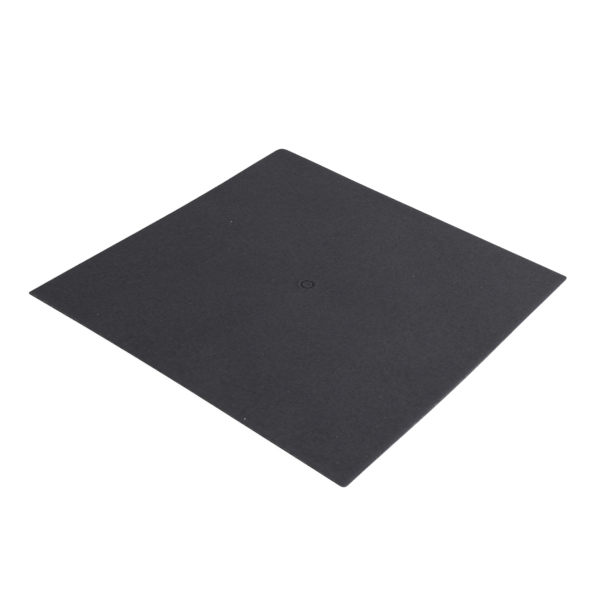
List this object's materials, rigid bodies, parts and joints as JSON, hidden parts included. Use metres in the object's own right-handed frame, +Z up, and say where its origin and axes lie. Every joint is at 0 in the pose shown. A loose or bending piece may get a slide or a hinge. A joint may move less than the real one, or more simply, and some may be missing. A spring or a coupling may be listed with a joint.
{
  "type": "seedling heat mat",
  "caption": "Flat square propagation mat: a printed heating film on foil and foam between welded charcoal covers, with a cut-out under a small central cap and eyelet terminals beneath.",
  "frame": {"origin": "middle of the underside, on the surface that the mat lies on", "axes": "+Z up through the mat's thickness, +Y towards the edge near the eyelets, +X to the right"},
  "size_m": [0.508, 0.508, 0.0024],
  "materials": {
    "cover": "matte, fine pebbled grain",
    "border": "matte, cut edge",
    "underside": "matte, fine cross-hatched grip",
    "cap": "matte, fine grain",
    "sealant": "dull, slightly uneven",
    "foam": "closed-cell, dull",
    "foil": "satin",
    "film": "clear, slightly amber",
    "carbon": "printed, dull",
    "copper": "rolled copper, satin",
    "tinned_copper": "tinned, satin",
    "cutout_case": "moulded",
    "thermal_pad": "soft, dull",
    "terminal_brass": "bright, slightly tarnished",
    "plate": "glass-filled laminate",
    "gasket_rubber": "dull black"
  },
  "bodies": {
    "root": {"bottom_cover": "underside", "edge_strip_front": "border", "edge_strip_back": "border", "edge_strip_left": "border", "edge_strip_right": "border", "insulation_foam": "foam", "reflector_foil": "foil", "lower_film": "film", "heating_strips": "carbon", "left_busbar": "copper", "right_busbar": "copper", "upper_film": "film", "top_cover": "cover", "sensor_cap": "cap", "cap_seal": "sealant", "cutout_pad": "thermal_pad", "thermal_cutout": "cutout_case", "feed_ribbon": "tinned_copper", "link_ribbon": "tinned_copper", "neutral_ribbon": "tinned_copper", "left_busbar_rivet": "copper", "right_busbar_rivet": "copper", "terminal_live": "terminal_brass", "terminal_neutral": "terminal_brass", "terminal_plate": "plate", "gasket_live": "gasket_rubber", "gasket_neutral": "gasket_rubber"}
  },
  "joints": []
}
